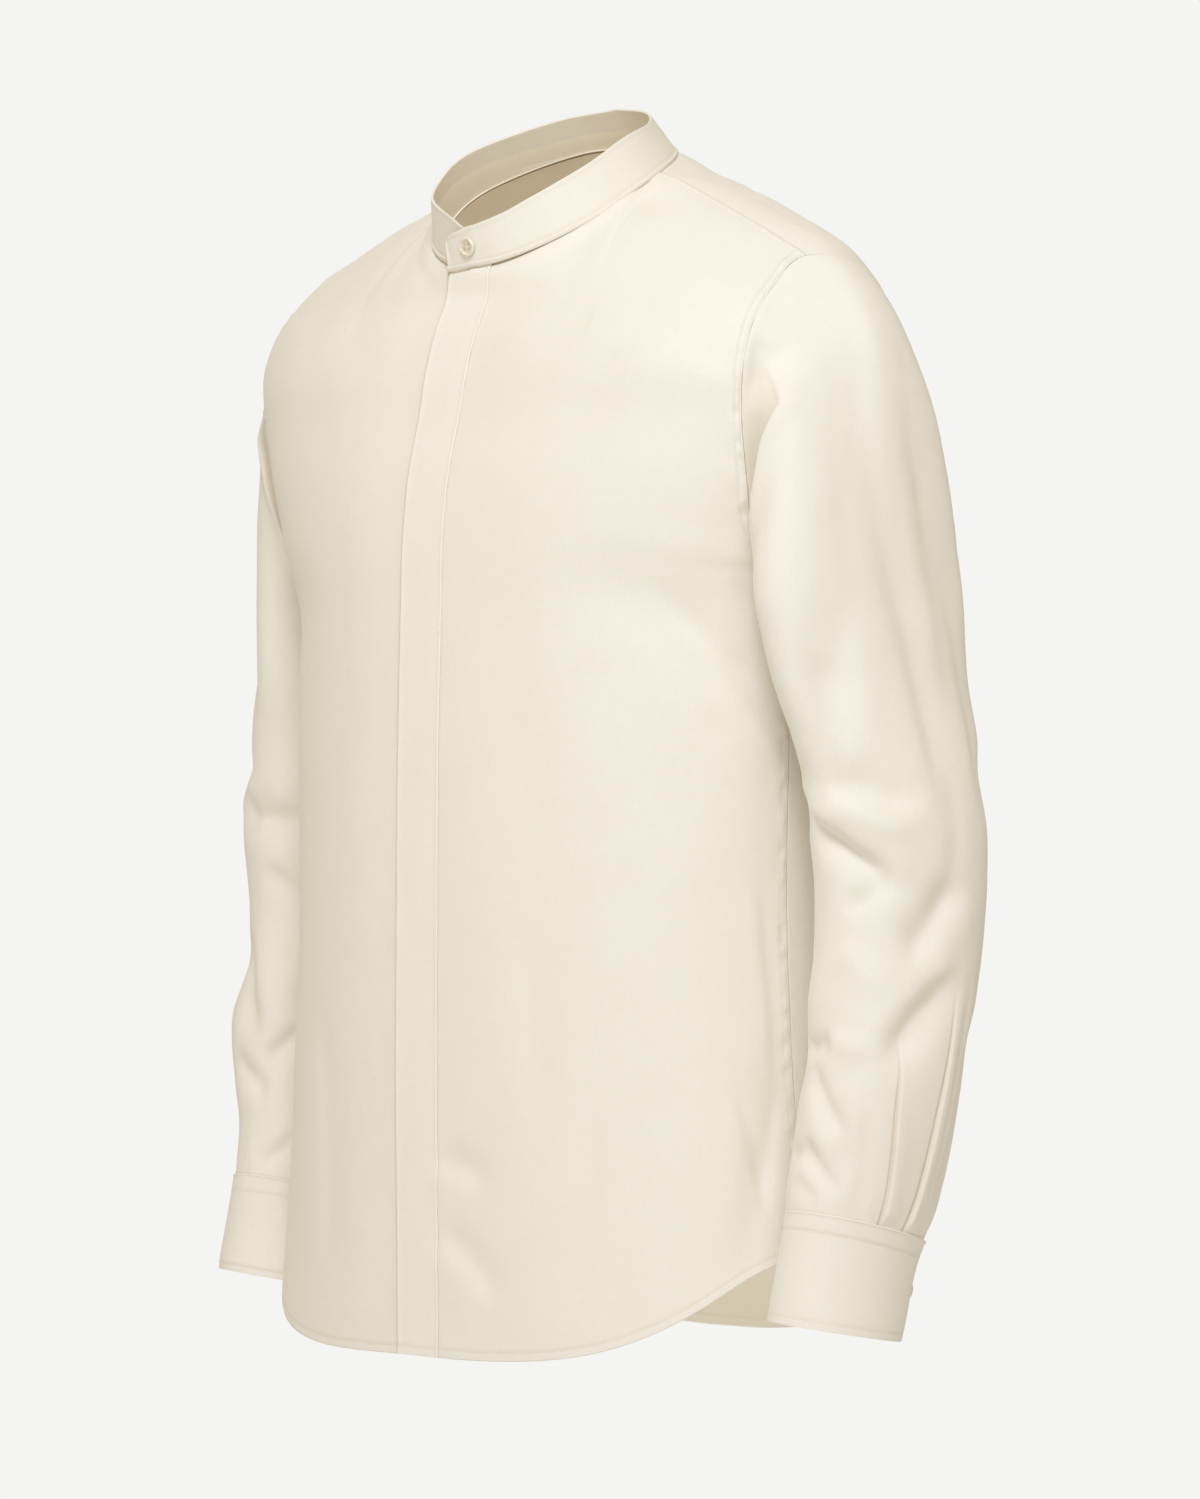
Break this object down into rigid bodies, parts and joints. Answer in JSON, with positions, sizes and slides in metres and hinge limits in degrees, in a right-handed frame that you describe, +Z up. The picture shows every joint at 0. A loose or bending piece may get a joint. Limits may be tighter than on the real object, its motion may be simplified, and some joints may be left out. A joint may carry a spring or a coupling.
{
  "type": "mandarin collar shirt",
  "caption": "Long-sleeved shirt with a stand collar, hidden front buttons, yoke, cuffs and a curved hem, worn open and hollow with nobody in it.",
  "frame": {"origin": "on the body's middle line at the height where a wearer's shoulders hold the shirt up beside the neck", "axes": "+Z up, the wearer faces -Y, and the wearer's left is +X"},
  "size_m": [0.6186, 0.2574, 0.7747],
  "materials": {
    "cloth": "fine plain-woven cotton, matt with a slight sheen",
    "button": "polished, faintly pearly"
  },
  "bodies": {
    "root": {"front_left": "cloth", "front_right": "cloth", "placket": "cloth", "back": "cloth", "yoke": "cloth", "sleeve_left": "cloth", "sleeve_right": "cloth", "cuff_left": "cloth", "cuff_right": "cloth", "collar": "cloth", "sleeve_placket_left": "cloth", "sleeve_placket_right": "cloth", "collar_button": "button", "cuff_button_left": "button", "cuff_button_right": "button"}
  },
  "joints": []
}
